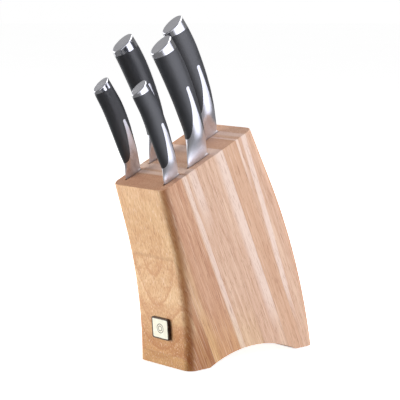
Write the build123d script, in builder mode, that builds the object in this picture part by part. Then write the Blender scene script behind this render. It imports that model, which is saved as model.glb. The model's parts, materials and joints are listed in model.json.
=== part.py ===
"""Knife block with five knives.

A leaning hardwood block, glued up from staves, holds three large and two small
forged knives in blind slots.  Every knife slides out along the block's lean.

Frame: millimetres, +Z up, +X across the block, -Y towards the front (the side
the block leans to).  The origin is the middle of the whole object's bounding
box, at the level the feet stand on.
"""

import os
from math import asin, cos, degrees, radians, sin, sqrt, tan

from build123d import *

# ---------------------------------------------------------------- block body
block_width = 82.0          # across the block, X
front_height = 191.5        # front top edge above the wood's underside
base_depth = 186.0          # front to back, along the underside
lean_angle = 24.0           # staves, slots and knives lean forward this much
front_arc_radius = 500.0    # hollow of the front face, upright at its foot
front_arc_height = 148.5    # the hollow ends here and runs on straight
back_arc_radius = 650.0     # belly of the back face
back_foot_lean = 10.0       # lean of the back face at its foot
back_top_lean = 28.0        # lean of the straight upper part of the back face
corner_radius = 10.0        # rounding of the four upright edges
top_edge_chamfer = 0.6      # broken edge round the top face

# -------------------------------------------------------- arch under the block
front_foot_depth = 29.0
back_foot_depth = 29.0
arch_height = 14.3

# ------------------------------------------------------------ staves, glued up
first_seam_height = 12.8    # where the first seam meets the front face, above the underside
stave_thicknesses = (30.0, 37.0, 33.0, 29.5, 20.0)  # next staves; the last one fills up

# ----------------------------------------------------------------- rubber feet
foot_height = 1.5
foot_radius = 5.0
foot_side_inset = 13.0      # foot centre from the block's side
foot_end_inset = 10.0       # foot centre from the block's front or back

# ----------------------------------------------------------------------- badge
badge_width = 26.5
badge_height = 23.0
badge_depth = 3.4
badge_centre_height = 40.5  # above the wood's underside
badge_corner_radius = 2.2
badge_rim = 1.4
badge_floor = 1.0           # metal behind the plate
badge_plate_drop = 0.3      # the plate's edge lies this far below the rim
badge_edge_chamfer = 0.5

# ----------------------------------------------------------------------- slots
slot_thickness = 3.2
slot_end_clearance = 2.0    # each end of the blade, in the slot
tip_clearance = 0.5         # under the blade's tip
side_slot_inset = 11.0      # side slots' centre from the block's side
front_slot_gap = 11.0       # front top edge to the small slots
row_gap = 10.0              # small slots to the large side slots
back_slot_gap = 12.5        # rear slot to the back top edge

# ---------------------------------------------------------------------- knives
blade_thickness = 2.2       # at the spine
heel_thickness = 2.0        # at the heel, above the grind
edge_thickness = 0.3
point_thickness = 1.2       # spine at the tip, after the taper
grind_length = 22.0         # the grind runs out over this length, below the slot
heel_rise = 1.0             # blade carried into the bolster by this much
tang_thickness = 3.0
tang_station = 5            # the tang grows out of the bolster at this handle station
tang_cap_depth = 5.0        # tang end inside the end cap
pin_radius = 1.5
pin_depth = 3.0             # pin end inside each handle scale, from the tang's face
cap_edge_radius = 1.2
serration_pitch = 6.0
serration_radius = 4.0
serration_depth = 0.7

section_step = 5.0          # spacing of the sections that the handle is lofted through

# Handle and bolster stations, from the slot's mouth up:
# (height, belly, spine, half thickness), belly and spine from the blade's middle.
large_stations = (
    (0.4, -15.0, 15.0, 1.15),
    (4.5, -14.0, 15.4, 1.25),
    (9.0, -12.4, 16.8, 1.9),
    (14.0, -10.2, 17.9, 3.1),
    (20.0, -7.7, 18.9, 5.0),
    (27.0, -5.3, 19.8, 7.0),
    (36.0, -4.0, 21.0, 8.1),
    (50.0, -4.1, 22.8, 8.6),
    (72.0, -4.9, 23.9, 8.9),
    (98.0, -7.2, 23.3, 9.0),
    (116.0, -9.3, 20.9, 8.9),
    (138.0, -12.5, 16.0, 8.7),
)
small_stations = (
    (0.4, -10.5, 10.5, 1.15),
    (4.0, -10.3, 11.4, 1.25),
    (7.5, -9.2, 12.2, 1.7),
    (12.0, -7.6, 12.9, 2.9),
    (17.0, -6.6, 13.5, 4.4),
    (23.0, -6.9, 14.3, 5.4),
    (36.0, -7.3, 15.4, 5.9),
    (53.0, -7.5, 16.7, 6.3),
    (76.0, -8.3, 16.1, 6.6),
    (94.0, -10.3, 12.8, 6.6),
    (113.0, -12.6, 8.8, 6.4),
)

# Steel spike up the handle's side: the outline between steel and scale.
large_spike = {
    "belly": (
        (-9.0, 31.0),
        (-4.3, 28.1),
        (-1.4, 31.3),
        (3.0, 40.7),
        (7.2, 54.6),
        (9.0, 71.3),
        (9.0, 78.0),
    ),
    "point": (11.0, 80.5),
    "spine": (
        (13.0, 77.5),
        (13.9, 62.0),
        (14.3, 48.0),
        (15.0, 36.0),
        (16.5, 24.0),
        (19.8, 11.0),
    ),
}
small_spike = {
    "belly": (
        (-10.5, 19.5),
        (-5.0, 16.6),
        (-1.8, 18.6),
        (0.5, 23.0),
        (2.5, 30.8),
        (4.3, 40.2),
        (5.6, 51.0),
        (5.9, 58.5),
    ),
    "point": (7.6, 61.0),
    "spine": (
        (9.4, 58.5),
        (10.9, 49.8),
        (11.6, 40.0),
        (11.8, 30.5),
        (12.1, 21.0),
        (14.3, 8.0),
    ),
}

large_handle = {
    "stations": large_stations,
    "spike": large_spike,
    "blade_width": 30.0,
    "cap_joint": 121.5,
    "butt_height": 130.0,      # butt plane above the slot, at the blade's middle
    "butt_tilt": 16.0,
    "tang": (2.0, 13.0),
    "pins": ((8.0, 92.0), (6.0, 112.0)),
}
small_handle = {
    "stations": small_stations,
    "spike": small_spike,
    "blade_width": 21.0,
    "cap_joint": 98.5,
    "butt_height": 105.0,
    "butt_tilt": 17.0,
    "tang": (-1.0, 8.0),
    "pins": ((4.5, 71.0), (2.5, 89.0)),
}

# Blades: total length below the slot's mouth, straight run of the edge and of
# the spine, and the tip's offset from the blade's middle.
paring_blade = {"length": 90.0, "edge_run": 35.0, "spine_run": 55.0, "tip": 6.0, "serrated": False}
utility_blade = {"length": 125.0, "edge_run": 60.0, "spine_run": 85.0, "tip": 6.5, "serrated": False}
bread_blade = {"length": 200.0, "edge_run": 172.0, "spine_run": 150.0, "tip": 6.0, "serrated": True}
cooks_blade = {"length": 200.0, "edge_run": 70.0, "spine_run": 130.0, "tip": 9.0, "serrated": False}
carving_blade = {"length": 195.0, "edge_run": 110.0, "spine_run": 140.0, "tip": 8.0, "serrated": False}

# ============================================================ derived geometry
lean = radians(lean_angle)
along_top = Vector(0, cos(lean), sin(lean))      # front to back, along the top face
up_lean = Vector(0, -sin(lean), cos(lean))       # the way a knife pulls out
half_width = block_width / 2
through = 2 * block_width                        # longer than any cut across the block
reach = 80.0                                     # past a handle, either way from its joint
overlap = 1.0                                    # past a cut's edge, so that it cuts clean

arc_angle = degrees(asin(front_arc_height / front_arc_radius))
front_centre = Vector(-front_arc_radius, foot_height)
front_arc_end = front_centre + Vector(front_arc_radius, 0).rotate(Axis.Z, arc_angle)
front_top = Vector(
    front_arc_end.X - (front_height - front_arc_height) * tan(radians(arc_angle)),
    foot_height + front_height,
)
back_foot = Vector(base_depth, foot_height)
back_centre = back_foot - Vector(back_arc_radius, 0).rotate(Axis.Z, back_foot_lean)
back_arc_end = back_centre + Vector(back_arc_radius, 0).rotate(Axis.Z, back_top_lean)
back_normal = Vector(1, 0).rotate(Axis.Z, back_top_lean)
top_direction = Vector(cos(lean), sin(lean))
top_length = (back_arc_end - front_top).dot(back_normal) / top_direction.dot(back_normal)
back_top = front_top + top_direction * top_length

top_plane = Plane(
    origin=(0, front_top.X, front_top.Y),
    x_dir=(1, 0, 0),
    z_dir=up_lean,
)

side_slot_x = half_width - side_slot_inset
for handle in (small_handle, large_handle):
    handle["slot_length"] = handle["blade_width"] + 2 * slot_end_clearance
small_slot_end = front_slot_gap + small_handle["slot_length"]
front_slot_y = small_slot_end - small_handle["slot_length"] / 2
middle_slot_y = small_slot_end + row_gap + large_handle["slot_length"] / 2
back_slot_y = top_length - back_slot_gap - large_handle["slot_length"] / 2

# name: (slot centre across, slot centre from the front top edge, handle, blade)
knives = {
    "paring": (-side_slot_x, front_slot_y, small_handle, paring_blade),
    "utility": (side_slot_x, front_slot_y, small_handle, utility_blade),
    "bread": (-side_slot_x, middle_slot_y, large_handle, bread_blade),
    "cooks": (side_slot_x, middle_slot_y, large_handle, cooks_blade),
    "carving": (0.0, back_slot_y, large_handle, carving_blade),
}

pieces = {}

# ================================================================== block form
with BuildPart() as block_form:
    with BuildSketch(Plane.YZ):
        with BuildLine():
            CenterArc(front_centre, front_arc_radius, 0, arc_angle)
            Line(front_arc_end, front_top)
            Line(front_top, back_top)
            Line(back_top, back_arc_end)
            CenterArc(back_centre, back_arc_radius, back_foot_lean, back_top_lean - back_foot_lean)
            Line(back_foot, (0, foot_height))
        make_face()
    extrude(amount=half_width, both=True)
    top_face = block_form.faces().sort_by(Axis(top_plane.origin, up_lean))[-1]
    underside = block_form.faces().sort_by(Axis.Z)[0]
    side_edges = block_form.edges().filter_by(Axis.X, reverse=True)
    fillet(side_edges - top_face.edges() - underside.edges(), radius=corner_radius)
    top_face = block_form.faces().sort_by(Axis(top_plane.origin, up_lean))[-1]
    chamfer(top_face.edges(), length=top_edge_chamfer)

    with BuildSketch(Plane.YZ):
        with BuildLine():
            arch_front = Vector(front_foot_depth, foot_height)
            arch_back = Vector(base_depth - back_foot_depth, foot_height)
            arch_crown = (arch_front + arch_back) / 2 + Vector(0, arch_height)
            ThreePointArc(arch_front, arch_crown, arch_back)
            Line(arch_back, arch_front)
        make_face()
    extrude(amount=through, both=True, mode=Mode.SUBTRACT)

    for slot_x, slot_y, handle, blade in knives.values():
        with BuildSketch(top_plane):
            with Locations((slot_x, slot_y)):
                Rectangle(slot_thickness, handle["slot_length"])
        extrude(amount=-(blade["length"] + tip_clearance), mode=Mode.SUBTRACT)

# ====================================================================== staves
seam_depth = sqrt(front_arc_radius**2 - first_seam_height**2) - front_arc_radius
first_seam = Vector(seam_depth, foot_height + first_seam_height)
seams = [(first_seam - front_top).dot(top_direction)]
for thickness in stave_thicknesses:
    seams.append(seams[-1] + thickness)
far = 3 * front_height                               # beyond the block, either way
stave_edges = [-far] + seams + [far]

stave_plane = Plane(origin=(0, front_top.X, front_top.Y), x_dir=along_top, z_dir=(1, 0, 0))
for number, (near_edge, far_edge) in enumerate(zip(stave_edges, stave_edges[1:]), start=1):
    with BuildPart() as stave:
        add(block_form.part)
        with BuildSketch(stave_plane):
            with Locations(((near_edge + far_edge) / 2, 0)):
                Rectangle(far_edge - near_edge, 2 * far)
        extrude(amount=through, both=True, mode=Mode.INTERSECT)
    pieces[f"stave_{number}"] = stave

# ======================================================================== feet
foot_places = {
    "foot_front_left": (foot_side_inset - half_width, foot_end_inset),
    "foot_front_right": (half_width - foot_side_inset, foot_end_inset),
    "foot_back_left": (foot_side_inset - half_width, base_depth - foot_end_inset),
    "foot_back_right": (half_width - foot_side_inset, base_depth - foot_end_inset),
}
for label, place in foot_places.items():
    with BuildPart() as foot:
        with BuildSketch(Plane.XY):
            with Locations(place):
                Circle(foot_radius)
        extrude(amount=foot_height)
    pieces[label] = foot

# ======================================================================= badge
badge_angle = asin(badge_centre_height / front_arc_radius)
badge_plane = Plane(
    origin=(
        0,
        front_centre.X + front_arc_radius * cos(badge_angle),
        foot_height + badge_centre_height,
    ),
    x_dir=(1, 0, 0),
    z_dir=(0, -cos(badge_angle), -sin(badge_angle)),
)
plate_width = badge_width - 2 * badge_rim
plate_height = badge_height - 2 * badge_rim
plate_corner_radius = badge_corner_radius - badge_rim / 2

with BuildPart() as badge_frame:
    with BuildSketch(badge_plane.offset(-badge_floor)):
        RectangleRounded(badge_width, badge_height, badge_corner_radius)
    extrude(amount=badge_floor + badge_depth)
    front_face = badge_frame.faces().sort_by(Axis(badge_plane.origin, badge_plane.z_dir))[-1]
    chamfer(front_face.edges(), length=badge_edge_chamfer)
    with BuildSketch(badge_plane.offset(badge_floor)):
        RectangleRounded(plate_width, plate_height, plate_corner_radius)
    extrude(amount=badge_depth, mode=Mode.SUBTRACT)
    add(block_form.part, mode=Mode.SUBTRACT)
pieces["badge_frame"] = badge_frame

with BuildPart() as badge_plate:
    with BuildSketch(badge_plane.offset(badge_floor)):
        RectangleRounded(plate_width, plate_height, plate_corner_radius)
    extrude(amount=badge_depth - badge_floor - badge_plate_drop)
pieces["badge_plate"] = badge_plate


# ====================================================================== knives
def knife_plane(slot_x, slot_y):
    """Side-view plane of a knife: x from belly to spine, y up out of the slot."""
    mouth = top_plane.from_local_coords((slot_x, slot_y, 0))
    return Plane(origin=mouth, x_dir=along_top, z_dir=(1, 0, 0))


def section_plane(side, height):
    """Plane across the knife at a height above the slot's mouth."""
    return Plane(origin=side.from_local_coords((0, height, 0)), x_dir=along_top, z_dir=up_lean)


def station_slope(stations, index, column):
    """Slope of one column at a station, taken over its neighbours."""
    before = stations[max(index - 1, 0)]
    after = stations[min(index + 1, len(stations) - 1)]
    return (after[column] - before[column]) / (after[0] - before[0])


def station_value(stations, column, height):
    """One column of the stations at any height, smooth through the stations."""
    index = 0
    while index < len(stations) - 2 and height > stations[index + 1][0]:
        index += 1
    low, high = stations[index], stations[index + 1]
    span = high[0] - low[0]
    t = (height - low[0]) / span
    low_slope = station_slope(stations, index, column) * span
    high_slope = station_slope(stations, index + 1, column) * span
    change = high[column] - low[column]
    cubic = low_slope + high_slope - 2 * change
    square = 3 * change - 2 * low_slope - high_slope
    return ((cubic * t + square) * t + low_slope) * t + low[column]


def handle_form(side, handle):
    """Bolster, handle and end cap as one smooth body."""
    stations = handle["stations"]
    bottom, top = stations[0][0], stations[-1][0]
    spans = round((top - bottom) / section_step)
    with BuildPart() as form:
        for number in range(spans + 1):
            height = bottom + (top - bottom) * number / spans
            belly = station_value(stations, 1, height)
            spine = station_value(stations, 2, height)
            half_thickness = station_value(stations, 3, height)
            with BuildSketch(section_plane(side, height)):
                with Locations(((belly + spine) / 2, 0)):
                    Ellipse((spine - belly) / 2, half_thickness)
        loft()
    return form


def ground_blade(side, handle, blade):
    """The blade alone: a side outline ground to a wedge that thins to the tip."""
    half = handle["blade_width"] / 2
    top = handle["stations"][0][0] + heel_rise
    tip = (blade["tip"], -blade["length"])
    stations = (
        (top, heel_thickness, blade_thickness),
        (0.0, heel_thickness, blade_thickness),
        (-grind_length, edge_thickness, blade_thickness),
        (-blade["length"] - overlap, edge_thickness, point_thickness),
    )
    with BuildPart() as ground:
        for height, at_edge, at_spine in stations:
            with BuildSketch(section_plane(side, height)):
                with BuildLine():
                    Polyline(
                        (-half, -at_edge / 2),
                        (half, -at_spine / 2),
                        (half, at_spine / 2),
                        (-half, at_edge / 2),
                        close=True,
                    )
                make_face()
        loft(ruled=True)
        with BuildSketch(side):
            with BuildLine():
                edge_line = Line((-half, top), (-half, -blade["edge_run"]))
                TangentArc(edge_line @ 1, tip, tangent=(0, -1))
                spine_line = Line((half, top), (half, -blade["spine_run"]))
                TangentArc(spine_line @ 1, tip, tangent=(0, -1))
                Line(edge_line @ 0, spine_line @ 0)
            make_face()
        extrude(amount=through, both=True, mode=Mode.INTERSECT)
        if blade["serrated"]:
            count = int((blade["edge_run"] - grind_length) // serration_pitch)
            first = -grind_length - serration_pitch / 2
            with BuildSketch(side):
                with Locations(
                    [
                        (-half - serration_radius + serration_depth, first - index * serration_pitch)
                        for index in range(count)
                    ]
                ):
                    Circle(serration_radius)
            extrude(amount=through, both=True, mode=Mode.SUBTRACT)
    return ground


def steel_outline(side, handle):
    """Side view of what is steel in the handle form: bolster and spike."""
    spike = handle["spike"]
    low = handle["stations"][0][0] - overlap
    with BuildSketch(side) as outline:
        with BuildLine():
            Spline(*spike["belly"])
            ThreePointArc(spike["belly"][-1], spike["point"], spike["spine"][0])
            Spline(*spike["spine"])
            Polyline(
                spike["spine"][-1],
                (reach, low),
                (-reach, low),
                (-reach, spike["belly"][0][1]),
                spike["belly"][0],
            )
        make_face()
    return outline.sketch


def tang_outline(side, handle):
    """Side view of the tang, from inside the bolster to inside the end cap."""
    tang_front, tang_back = handle["tang"]
    bottom = handle["stations"][tang_station][0]
    top = handle["cap_joint"] + tang_cap_depth
    with BuildSketch(side) as outline:
        with Locations(((tang_front + tang_back) / 2, (bottom + top) / 2)):
            Rectangle(tang_back - tang_front, top - bottom)
    return outline.sketch


def pin_outline(side, handle):
    """Side view of the two pins through the tang."""
    with BuildSketch(side) as outline:
        with Locations(handle["pins"]):
            Circle(pin_radius)
    return outline.sketch


def grip_outline(side, handle):
    """Side view of everything below the joint between handle and end cap."""
    with BuildSketch(side) as outline:
        with Locations((0, handle["cap_joint"] - reach)):
            Rectangle(2 * reach, 2 * reach)
    return outline.sketch


def butt_outline(side, handle):
    """Side view of everything below the tilted butt plane."""
    rise = reach * tan(radians(handle["butt_tilt"]))
    with BuildSketch(side) as outline:
        with BuildLine():
            Polyline(
                (-reach, -reach),
                (reach, -reach),
                (reach, handle["butt_height"] + rise),
                (-reach, handle["butt_height"] - rise),
                close=True,
            )
        make_face()
    return outline.sketch


def make_knife(name, slot_x, slot_y, handle, blade):
    """All the pieces of one knife, put in the pieces table."""
    side = knife_plane(slot_x, slot_y)
    form = handle_form(side, handle)
    ground = ground_blade(side, handle, blade)
    steel = steel_outline(side, handle)
    tang = tang_outline(side, handle)
    pin = pin_outline(side, handle)
    grip = grip_outline(side, handle)

    with BuildPart() as forging:
        add(form.part)
        extrude(steel, amount=through, both=True, mode=Mode.INTERSECT)
        add(ground.part)
        extrude(tang, amount=tang_thickness / 2, both=True)
        extrude(pin, amount=through, both=True, mode=Mode.SUBTRACT)
    pieces[f"{name}_blade"] = forging

    for hand, kept_side in (("left", Keep.BOTTOM), ("right", Keep.TOP)):
        with BuildPart() as scale:
            add(form.part)
            extrude(grip, amount=through, both=True, mode=Mode.INTERSECT)
            split(bisect_by=side, keep=kept_side)
            extrude(steel, amount=through, both=True, mode=Mode.SUBTRACT)
            extrude(tang, amount=tang_thickness / 2, both=True, mode=Mode.SUBTRACT)
            extrude(pin, amount=tang_thickness / 2 + pin_depth, both=True, mode=Mode.SUBTRACT)
        pieces[f"{name}_scale_{hand}"] = scale

    with BuildPart() as cap:
        add(form.part)
        extrude(butt_outline(side, handle), amount=through, both=True, mode=Mode.INTERSECT)
        fillet(cap.edges().sort_by(Axis(side.origin, up_lean))[-1], radius=cap_edge_radius)
        extrude(grip, amount=through, both=True, mode=Mode.SUBTRACT)
        extrude(tang, amount=tang_thickness / 2, both=True, mode=Mode.SUBTRACT)
    pieces[f"{name}_end_cap"] = cap

    with BuildPart() as pins:
        extrude(pin, amount=tang_thickness / 2 + pin_depth, both=True)
    pieces[f"{name}_tang_pins"] = pins


for knife_name, (across, back, knife_handle, knife_blade) in knives.items():
    make_knife(knife_name, across, back, knife_handle, knife_blade)

# ====================================================================== export
# The whole assembly moves along Y so that its bounding box is centred there.
boxes = [piece.part.bounding_box() for piece in pieces.values()]
middle = (min(box.min.Y for box in boxes) + max(box.max.Y for box in boxes)) / 2

os.makedirs("parts", exist_ok=True)
for label, piece in pieces.items():
    placed = piece.part.moved(Location((0, -middle, 0)))
    placed.label = label
    export_step(placed, f"parts/{label}.step")
print("origin is", round(middle, 3), "mm behind the front foot")
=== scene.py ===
"""Looks of the knife block with knives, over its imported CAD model. Metres, +Z up."""

import json
from math import atan2, cos, radians, sin

import bpy
from mathutils import Matrix, Vector


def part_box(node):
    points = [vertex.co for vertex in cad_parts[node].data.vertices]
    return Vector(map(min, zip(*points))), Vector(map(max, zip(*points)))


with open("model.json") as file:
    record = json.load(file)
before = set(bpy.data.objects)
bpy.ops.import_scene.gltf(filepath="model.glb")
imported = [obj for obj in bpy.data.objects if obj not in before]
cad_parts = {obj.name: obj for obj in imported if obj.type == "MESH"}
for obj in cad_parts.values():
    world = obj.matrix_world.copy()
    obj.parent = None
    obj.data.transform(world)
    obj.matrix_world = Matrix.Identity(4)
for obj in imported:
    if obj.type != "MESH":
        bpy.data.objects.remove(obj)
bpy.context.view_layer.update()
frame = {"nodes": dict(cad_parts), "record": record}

MM = 0.001
KNIVES = ("paring", "utility", "bread", "cooks", "carving")
STAVES = tuple(f"stave_{number}" for number in range(1, 8))

# ------------------------------------------------ places, worked out from the frame
pull = Vector(frame["record"]["behaviour"]["joints"][0]["axis"])
lean = atan2(-pull.y, pull.z)
along_top = Vector((0, cos(lean), sin(lean)))     # front to back, along the top face
up_lean = Vector((0, -sin(lean), cos(lean)))      # along the grain


def corners(node):
    """A node's vertices, which are already in the frame."""
    return [vertex.co for vertex in frame["nodes"][node].data.vertices]


top_level = max(point.dot(up_lean) for point in corners("stave_4"))
front_edge = min(
    point.dot(along_top)
    for point in corners("stave_3")
    if point.dot(up_lean) > top_level - 0.05 * MM
)
blade_low, blade_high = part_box("cooks_blade")
side_slot = (blade_low[0] + blade_high[0]) / 2 / MM     # mid-plane of a side knife, in mm


# ====================================================================== node graphs
def srgb(red, green, blue):
    """A colour, 0 to 255, as the linear colour that shaders take."""
    parts = [channel / 255 for channel in (red, green, blue)]
    linear = [p / 12.92 if p <= 0.04045 else ((p + 0.055) / 1.055) ** 2.4 for p in parts]
    return (*linear, 1.0)


class Graph:
    """One material's node tree, built by short calls."""

    def __init__(self, name):
        self.material = bpy.data.materials.new(name)
        self.material.use_nodes = True
        self.tree = self.material.node_tree
        self.shader = self.tree.nodes["Principled BSDF"]

    def feed(self, socket, value):
        if isinstance(value, bpy.types.NodeSocket):
            self.tree.links.new(value, socket)
        else:
            socket.default_value = value

    def node(self, kind, inputs, **settings):
        made = self.tree.nodes.new(kind)
        for key, value in settings.items():
            setattr(made, key, value)
        for key, value in inputs.items():
            self.feed(made.inputs[key], value)
        return made

    def math(self, operation, first, second=0.0, clamp=False):
        made = self.node(
            "ShaderNodeMath", {0: first, 1: second}, operation=operation, use_clamp=clamp
        )
        return made.outputs[0]

    def remap(self, value, from_low, from_high, to_low=0.0, to_high=1.0):
        """Smoothstep between two levels."""
        made = self.node(
            "ShaderNodeMapRange",
            {
                "Value": value,
                "From Min": from_low,
                "From Max": from_high,
                "To Min": to_low,
                "To Max": to_high,
            },
            interpolation_type="SMOOTHSTEP",
        )
        return made.outputs["Result"]

    def mix(self, factor, first, second, blend="MIX"):
        made = self.node(
            "ShaderNodeMix",
            {},
            data_type="RGBA",
            blend_type=blend,
        )
        self.feed(made.inputs[0], factor)
        self.feed(made.inputs[6], first)
        self.feed(made.inputs[7], second)
        return made.outputs[2]

    def ramp(self, factor, stops):
        made = self.node("ShaderNodeValToRGB", {0: factor})
        elements = made.color_ramp.elements
        while len(elements) < len(stops):
            elements.new(1.0)
        for element, (place, colour) in zip(elements, stops):
            element.position = place
            element.color = colour
        return made.outputs["Color"]

    def stretch(self, vector, sizes):
        """Coordinates divided by a feature size on each axis."""
        made = self.node(
            "ShaderNodeMapping", {"Vector": vector, "Scale": [1 / size for size in sizes]}
        )
        return made.outputs["Vector"]

    def noise(self, vector, sizes, detail=2.0, seed=0.0, roughness=0.5):
        made = self.node(
            "ShaderNodeTexNoise",
            {
                "Vector": self.stretch(vector, sizes),
                "W": seed,
                "Scale": 1.0,
                "Detail": detail,
                "Roughness": roughness,
            },
            noise_dimensions="4D",
        )
        return made.outputs["Fac"]

    def object_space(self):
        return self.node("ShaderNodeTexCoord", {})

    def split(self, vector):
        return self.node("ShaderNodeSeparateXYZ", {0: vector}).outputs

    def bump(self, height, distance, strength=1.0):
        made = self.node(
            "ShaderNodeBump", {"Height": height, "Distance": distance, "Strength": strength}
        )
        self.tree.links.new(made.outputs["Normal"], self.shader.inputs["Normal"])

    def set(self, **values):
        """Shader sockets by name, with spaces written as underscores."""
        for key, value in values.items():
            self.feed(self.shader.inputs[key.replace("_", " ")], value)


# ============================================================================ wood
def grain_space(graph):
    """Millimetres across the block, along its top, and along the grain."""
    coordinates = graph.object_space()
    turned = graph.node(
        "ShaderNodeMapping",
        {
            "Vector": coordinates.outputs["Object"],
            "Rotation": (-lean, 0, 0),
            "Scale": (1 / MM, 1 / MM, 1 / MM),
            "Location": (0, -front_edge / MM, -top_level / MM),
        },
    )
    return turned.outputs["Vector"], coordinates.outputs["Normal"], coordinates.outputs["Object"]


def tinted(graph, colour, filter_colour):
    return graph.mix(1.0, colour, filter_colour, blend="MULTIPLY")


def band(graph, place, middle, half, soft):
    """1 inside a band of a coordinate, falling to 0 over a soft edge."""
    away = graph.math("ABSOLUTE", graph.math("SUBTRACT", place, middle))
    return graph.remap(away, half + soft, half)


def growth_layers(graph, grain, shift, pith, spacing):
    """Oval layers round a pith; each darkens outwards and ends in a thin dark line."""
    across, back, _ = graph.split(grain)
    off_x = graph.math("DIVIDE", graph.math("SUBTRACT", across, pith[0]), 1.7)
    off_s = graph.math("SUBTRACT", back, pith[1])
    squares = graph.math(
        "ADD", graph.math("MULTIPLY", off_x, off_x), graph.math("MULTIPLY", off_s, off_s)
    )
    radius = graph.math("ADD", graph.math("SQRT", squares), shift)
    phase = graph.math("FRACT", graph.math("DIVIDE", radius, spacing))
    stops = ((0.0, 0.05), (0.5, 0.15), (0.82, 0.4), (0.92, 1.0), (1.0, 0.05))
    return graph.ramp(phase, [(at, (level, level, level, 1)) for at, level in stops])


def pores(graph, grain, seed):
    """Open pores: short dashes along the grain that show as dots on the end grain."""
    long_ones = graph.noise(grain, (1.1, 0.8, 14), detail=1.0, seed=seed + 11)
    short_ones = graph.noise(grain, (0.7, 0.6, 8), detail=1.0, seed=seed + 17)
    return graph.math(
        "MAXIMUM", graph.remap(long_ones, 0.58, 0.74), graph.remap(short_ones, 0.58, 0.76)
    )


def wood(name, seed, span, pale, deep, pith, spacing, rings, streaks=(), low=None, front=None):
    """Open-grained hardwood: growth layers, streaks, fibres, pores and glue lines, with painted
    light on a front face and painted shade on the rounded edges.
    """
    graph = Graph(name)
    grain, normal, place = grain_space(graph)
    _, back, along = graph.split(grain)
    warp = graph.noise(grain, (45, 45, 150), detail=1.0, seed=seed)
    shift = graph.math("MULTIPLY", graph.math("SUBTRACT", warp, 0.5), WANDER)

    late = growth_layers(graph, grain, shift, pith, spacing)
    broad = graph.noise(grain, (30, 5, 170), detail=2.0, seed=seed + 3.1)
    fine = graph.noise(grain, (1.3, 0.9, 34), detail=3.0, seed=seed + 7.7, roughness=0.6)
    patch = graph.noise(grain, (25, 12, 40), detail=2.0, seed=seed + 5.9)
    tone = graph.math(
        "ADD",
        graph.math("MULTIPLY", graph.remap(broad, 0.3, 0.7), 0.45),
        graph.math("MULTIPLY", graph.remap(fine, 0.35, 0.65), 0.6),
    )
    tone = graph.math("ADD", tone, graph.math("MULTIPLY", late, rings))
    tone = graph.math("ADD", tone, graph.math("MULTIPLY", graph.math("SUBTRACT", patch, 0.5), 0.5))
    colour = graph.mix(graph.math("MULTIPLY", tone, 1.0, clamp=True), pale, deep)

    for streak in streaks:
        middle, half, soft, lower, strength, slant = streak
        drift = graph.math("MULTIPLY", along, slant)
        wander = graph.math("MULTIPLY", shift, 0.3)
        line = graph.math("ADD", graph.math("ADD", back, drift), wander)
        fray = graph.math("MULTIPLY", graph.math("SUBTRACT", fine, 0.5), FRAY)
        frayed = graph.math("ADD", line, fray)
        inside = band(graph, frayed, middle, half, soft)
        fade = graph.remap(along, lower - 30, lower + 30)
        inside = graph.math("MULTIPLY", graph.math("MULTIPLY", inside, fade), strength)
        colour = graph.mix(inside, colour, PALE_STREAK)

    # painted light: front lightens and yellows the stave's front face, the face that the left
    # light falls on
    if front:
        colour = graph.mix(graph.remap(back, 5, -5), colour, tinted(graph, colour, front))
    if low:
        height = graph.split(place)[2]
        colour = graph.mix(graph.remap(height, 0.08, 0.015), colour, tinted(graph, colour, low))

    flecks = graph.noise(grain, (1.1, 0.7, 45), detail=2.0, seed=seed + 13.3)
    pale_fibre = graph.math("MULTIPLY", graph.remap(flecks, 0.56, 0.7), 0.35)
    colour = graph.mix(pale_fibre, colour, PALE_FIBRE)

    pore = pores(graph, grain, seed)
    colour = graph.mix(graph.math("MULTIPLY", pore, 0.55), colour, tinted(graph, colour, PORE))

    # glue lines, a touch darker where two staves meet
    for seam in span:
        glue = graph.math("MULTIPLY", band(graph, back, seam, 0.1, 0.45), 0.25)
        colour = graph.mix(glue, colour, GLUE)

    # end grain drinks the oil and goes darker
    facing = graph.node("ShaderNodeVectorMath", {0: normal, 1: up_lean}, operation="DOT_PRODUCT")
    end = graph.remap(graph.math("ABSOLUTE", facing.outputs["Value"]), 0.75, 0.97)
    colour = graph.mix(end, colour, tinted(graph, colour, END_GRAIN))

    # painted shade on the rounded edges: darker and warmer where the surface faces between the
    # front and the side, away from both side lights
    side = graph.split(normal)
    corner = graph.math(
        "MINIMUM", graph.math("ABSOLUTE", side[0]), graph.math("ABSOLUTE", side[1])
    )
    turned = graph.math("MULTIPLY", graph.remap(corner, 0.25, 0.7), 0.75)
    colour = graph.mix(turned, colour, tinted(graph, colour, ROUND_EDGE_SHADE))

    graph.set(
        Base_Color=colour,
        Roughness=graph.remap(fine, 0.2, 0.8, 0.44, 0.58),
        IOR=1.45,
    )
    height = graph.math("SUBTRACT", graph.math("MULTIPLY", fine, 0.4), pore)
    graph.bump(height, 0.15 * MM, strength=0.7)
    return graph.material


WANDER = 9.0        # mm that a growth layer strays from its oval
FRAY = 5.0          # mm that a pale streak's edge is frayed by the fibres
PALE_STREAK = srgb(244, 224, 216)
PALE_FIBRE = srgb(244, 222, 204)
GLUE = srgb(160, 112, 82)
PORE = srgb(190, 150, 124)
END_GRAIN = srgb(226, 216, 212)
# painted shade for the rounded edges
ROUND_EDGE_SHADE = srgb(228, 194, 154)


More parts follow.
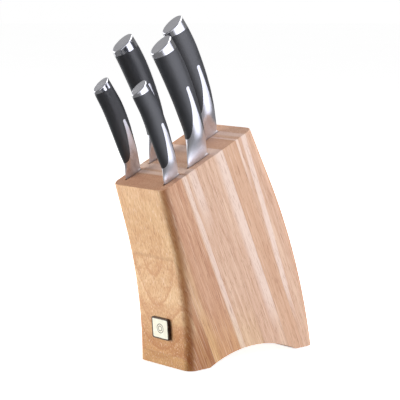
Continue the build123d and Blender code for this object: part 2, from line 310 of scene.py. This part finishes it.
def dress_staves():
    pale = srgb(232, 200, 176)
    deep = srgb(208, 164, 138)
    looks = {
        "stave_1": dict(
            pale=srgb(226, 192, 150),
            deep=srgb(200, 156, 116),
            pith=(-4, 30),
            spacing=9.0,
            rings=0.5,
            low=srgb(220, 196, 164),
        ),
        "stave_2": dict(
            pale=srgb(228, 192, 154),
            deep=srgb(198, 146, 108),
            pith=(-2, 0),
            spacing=7.6,
            rings=0.8,
            low=srgb(220, 196, 164),
        ),
        "stave_3": dict(
            pale=srgb(220, 176, 144),
            deep=srgb(194, 140, 108),
            pith=(-120, 10),
            spacing=11.0,
            rings=0.15,
            # painted light on stave_3's front face
            front=(1.06, 1.15, 1.06, 1.0),
            low=srgb(255, 250, 226),
        ),
        "stave_4": dict(
            pith=(60, 140),
            spacing=9.0,
            rings=0.2,
            low=srgb(253, 252, 238),
            streaks=((30.5, 1.6, 2.0, -230, 0.6, 0.0), (42, 3, 4, -50, 0.6, 0.0)),
        ),
        "stave_5": dict(
            pith=(-30, 40),
            spacing=13.0,
            rings=0.2,
            streaks=((84, 3, 8, -200, 0.65, 0.0),),
        ),
        "stave_6": dict(
            pale=srgb(222, 182, 154),
            deep=srgb(206, 160, 130),
            pith=(-90, 60),
            spacing=16.0,
            rings=0.1,
        ),
        "stave_7": dict(
            pith=(40, 30),
            spacing=12.0,
            rings=0.2,
            streaks=((121, 2.5, 1.5, -200, 0.7, -0.05), (108.5, 3, 1.5, -40, 0.6, 0.0)),
        ),
    }
    for number, node in enumerate(STAVES):
        settings = dict(pale=pale, deep=deep)
        settings.update(looks[node])
        reach = [(point.dot(along_top) - front_edge) / MM for point in corners(node)]
        span = (min(reach), max(reach))
        assign(node, wood(f"wood_{node}", seed=number * 5.3, span=span, **settings))


# =================================================================== other materials
def steel(name, roughness, brushed, slot_shade=1.0):
    """Stainless steel with fine grinding lines; the last argument paints shade that darkens the
    steel below the block's top.
    """
    graph = Graph(name)
    grain, _, _ = grain_space(graph)
    lines = graph.noise(grain, (0.25, 0.12, 30), detail=2.0, seed=2.0)
    smear = graph.noise(grain, (14, 14, 22), detail=3.0, seed=5.0)
    # painted shade: the steel darkens from 4 mm above the block's top down into the slot
    slot_shade_mask = graph.remap(graph.split(grain)[2], 4, -6)
    rough = graph.math(
        "ADD",
        graph.remap(lines, 0.2, 0.8, roughness - brushed, roughness + brushed),
        graph.remap(smear, 0.35, 0.75, -0.02, 0.03),
    )
    shiny = graph.mix(graph.remap(smear, 0.3, 0.7), srgb(222, 222, 228), srgb(230, 230, 235))
    shaded_steel = tinted(graph, shiny, (slot_shade, slot_shade, slot_shade, 1))
    graph.set(Base_Color=graph.mix(slot_shade_mask, shiny, shaded_steel), Metallic=1.0, Roughness=rough)
    graph.bump(lines, 0.012 * MM, strength=0.4)
    return graph.material


def handle_black():
    """Satin moulded polymer: fine texture, rub marks, and the parting line of the scales."""
    graph = Graph("handle_black")
    grain, _, _ = grain_space(graph)
    pebble = graph.noise(grain, (0.35, 0.35, 0.35), detail=2.0, seed=1.0)
    rub = graph.noise(grain, (9, 9, 26), detail=4.0, seed=4.0)
    across = graph.math("ABSOLUTE", graph.split(grain)[0])
    off_side = graph.math("ABSOLUTE", graph.math("SUBTRACT", across, side_slot))
    parting = graph.remap(graph.math("MINIMUM", across, off_side), 0.28, 0.1)
    colour = graph.mix(graph.remap(rub, 0.3, 0.75), srgb(34, 35, 40), srgb(44, 46, 53))
    graph.set(
        Base_Color=graph.mix(parting, colour, srgb(8, 8, 9)),
        Roughness=graph.remap(rub, 0.25, 0.8, 0.38, 0.48),
        IOR=1.5,
        Specular_IOR_Level=1.0,
    )
    height = graph.math("SUBTRACT", graph.math("MULTIPLY", pebble, 0.2), parting)
    graph.bump(height, 0.12 * MM, strength=0.6)
    return graph.material


def foot_rubber():
    graph = Graph("foot_rubber")
    grain, _, _ = grain_space(graph)
    speckle = graph.noise(grain, (0.5, 0.5, 0.5), detail=3.0)
    graph.set(
        Base_Color=graph.mix(speckle, srgb(26, 26, 27), srgb(46, 45, 45)),
        Roughness=graph.remap(speckle, 0.3, 0.7, 0.7, 0.85),
    )
    graph.bump(speckle, 0.05 * MM, strength=0.5)
    return graph.material


def badge_metal():
    graph = Graph("badge_metal")
    grain, _, _ = grain_space(graph)
    wear = graph.noise(grain, (2, 2, 2), detail=4.0)
    graph.set(
        Base_Color=graph.mix(graph.remap(wear, 0.45, 0.7), srgb(70, 58, 52), srgb(112, 98, 88)),
        Metallic=0.8,
        Roughness=graph.remap(wear, 0.3, 0.7, 0.28, 0.42),
    )
    graph.bump(wear, 0.03 * MM, strength=0.4)
    return graph.material


def badge_enamel():
    """Gloss cream resin with two plain rings printed in its middle."""
    graph = Graph("badge_enamel")
    grain, _, place = grain_space(graph)
    low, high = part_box("badge_plate")
    across, _, up = graph.split(place)
    off_x = graph.math("SUBTRACT", across, (low[0] + high[0]) / 2)
    off_z = graph.math("SUBTRACT", up, (low[2] + high[2]) / 2)
    squares = graph.math(
        "ADD", graph.math("MULTIPLY", off_x, off_x), graph.math("MULTIPLY", off_z, off_z)
    )
    radius = graph.math("DIVIDE", graph.math("SQRT", squares), MM)
    cloud = graph.noise(grain, (6, 6, 6), detail=3.0)
    colour = graph.mix(cloud, srgb(222, 212, 196), srgb(234, 226, 212))
    for ring_radius in (2.6, 4.8):
        ring = band(graph, radius, ring_radius, 0.35, 0.15)
        colour = graph.mix(ring, colour, srgb(112, 98, 88))
    graph.set(Base_Color=colour, Roughness=graph.remap(cloud, 0.3, 0.7, 0.2, 0.3))
    return graph.material


def assign(node, material):
    """A CAD node takes one material in all its slots."""
    mesh = frame["nodes"][node].data
    mesh.materials.clear()
    mesh.materials.append(material)


def dress_knives():
    # the blades get painted shade, half as bright, down in the slots
    blade = steel("blade_steel", 0.32, 0.05, slot_shade=0.5)
    cap = steel("cap_steel", 0.16, 0.03)      # more polished than the blade
    pin = steel("pin_steel", 0.35, 0.05)
    black = handle_black()
    for knife in KNIVES:
        assign(f"{knife}_blade", blade)
        assign(f"{knife}_scale_left", black)
        assign(f"{knife}_scale_right", black)
        assign(f"{knife}_end_cap", cap)
        assign(f"{knife}_tang_pins", pin)


def dress_small_parts():
    rubber = foot_rubber()
    for end in ("front", "back"):
        for side in ("left", "right"):
            assign(f"foot_{end}_{side}", rubber)
    assign("badge_frame", badge_metal())
    assign("badge_plate", badge_enamel())


# ============================================================================ stage
def stage_piece(name, mesh_maker, **settings):
    """A glowing white stage piece that only the camera sees, so that it lights nothing."""
    mesh_maker(**settings)
    piece = bpy.context.object
    piece.name = name
    graph = Graph(f"{name}_paper")
    cloud = graph.noise(graph.object_space().outputs["Object"], (0.5, 0.5, 0.5))
    graph.set(
        Base_Color=graph.mix(cloud, srgb(246, 246, 246), srgb(252, 252, 252)),
        Roughness=0.95,
        Emission_Color=(1, 1, 1, 1),
        Emission_Strength=0.8,
    )
    piece.data.materials.append(graph.material)
    piece.visible_diffuse = False
    piece.visible_glossy = False
    piece.visible_shadow = False


def stage_set():
    """A floor, and a dome round it for the views that look level."""
    stage_piece("floor", bpy.ops.mesh.primitive_plane_add, size=60)
    stage_piece("backdrop", bpy.ops.mesh.primitive_uv_sphere_add, radius=12)


LIT_MIDDLE = Vector((0, 0, 0.17))
LIGHT_DISTANCE = 1.6


def softbox(name, azimuth, elevation, size, power, colour=(1, 1, 1)):
    """A square area light round the object, in degrees from +X and above its middle."""
    turn, rise = radians(azimuth), radians(elevation)
    toward = Vector((cos(turn) * cos(rise), sin(turn) * cos(rise), sin(rise)))
    data = bpy.data.lights.new(name, "AREA")
    data.size = size
    data.energy = power
    data.color = colour
    light = bpy.data.objects.new(name, data)
    bpy.context.scene.collection.objects.link(light)
    light.location = LIT_MIDDLE + toward * LIGHT_DISTANCE
    light.rotation_euler = (-toward).to_track_quat("-Z", "Y").to_euler()
    return light


def studio():
    """Soft light from both sides: softboxes light the wood, cards show in steel and gloss."""
    world = bpy.data.worlds.new("studio")
    bpy.context.scene.world = world
    world.use_nodes = True
    background = world.node_tree.nodes["Background"]
    background.inputs["Color"].default_value = (1, 1, 1, 1)
    background.inputs["Strength"].default_value = 0.2
    softbox("left_softbox", -130, 3, 1.4, 42.5, (0.97, 1.03, 0.97)).visible_glossy = False
    softbox("left_card", -150, 5, 2.2, 24, (0.97, 0.98, 1.0)).visible_diffuse = False
    softbox("right_softbox", 28, 5, 2.0, 30, (1.0, 0.98, 0.96)).visible_glossy = False
    softbox("right_card", 38, 4, 1.5, 10, (0.91, 0.93, 1.06)).visible_diffuse = False
    softbox("room_card", 0, 20, 2.4, 12, (0.95, 0.96, 1.05)).visible_diffuse = False
    softbox("top_softbox", 80, 62, 1.7, 25)
    softbox("fill_panel", 175, 40, 1.8, 2)
    bpy.context.scene.view_settings.view_transform = "Standard"


def camera():
    """The view from front right, a little above, through a long lens."""
    turn = radians(47.70)
    drop = radians(8.11)
    right = Vector((cos(turn), sin(turn), 0))
    ahead = Vector((-sin(turn) * cos(drop), cos(turn) * cos(drop), -sin(drop)))
    up = right.cross(ahead)
    data = bpy.data.cameras.new("camera")
    data.sensor_width = 36
    data.lens = 142.1
    view = bpy.data.objects.new("camera", data)
    bpy.context.scene.collection.objects.link(view)
    middle = Vector((0, 0.0298, 0.120))
    view.location = middle - right * 0.02831 + up * 0.04801 - ahead * 1.7039
    axes = Matrix((right, up, -ahead)).transposed().to_4x4()
    view.matrix_world = Matrix.Translation(view.location) @ axes
    bpy.context.scene.camera = view


camera()
dress_staves()
dress_knives()
dress_small_parts()
stage_set()
studio()
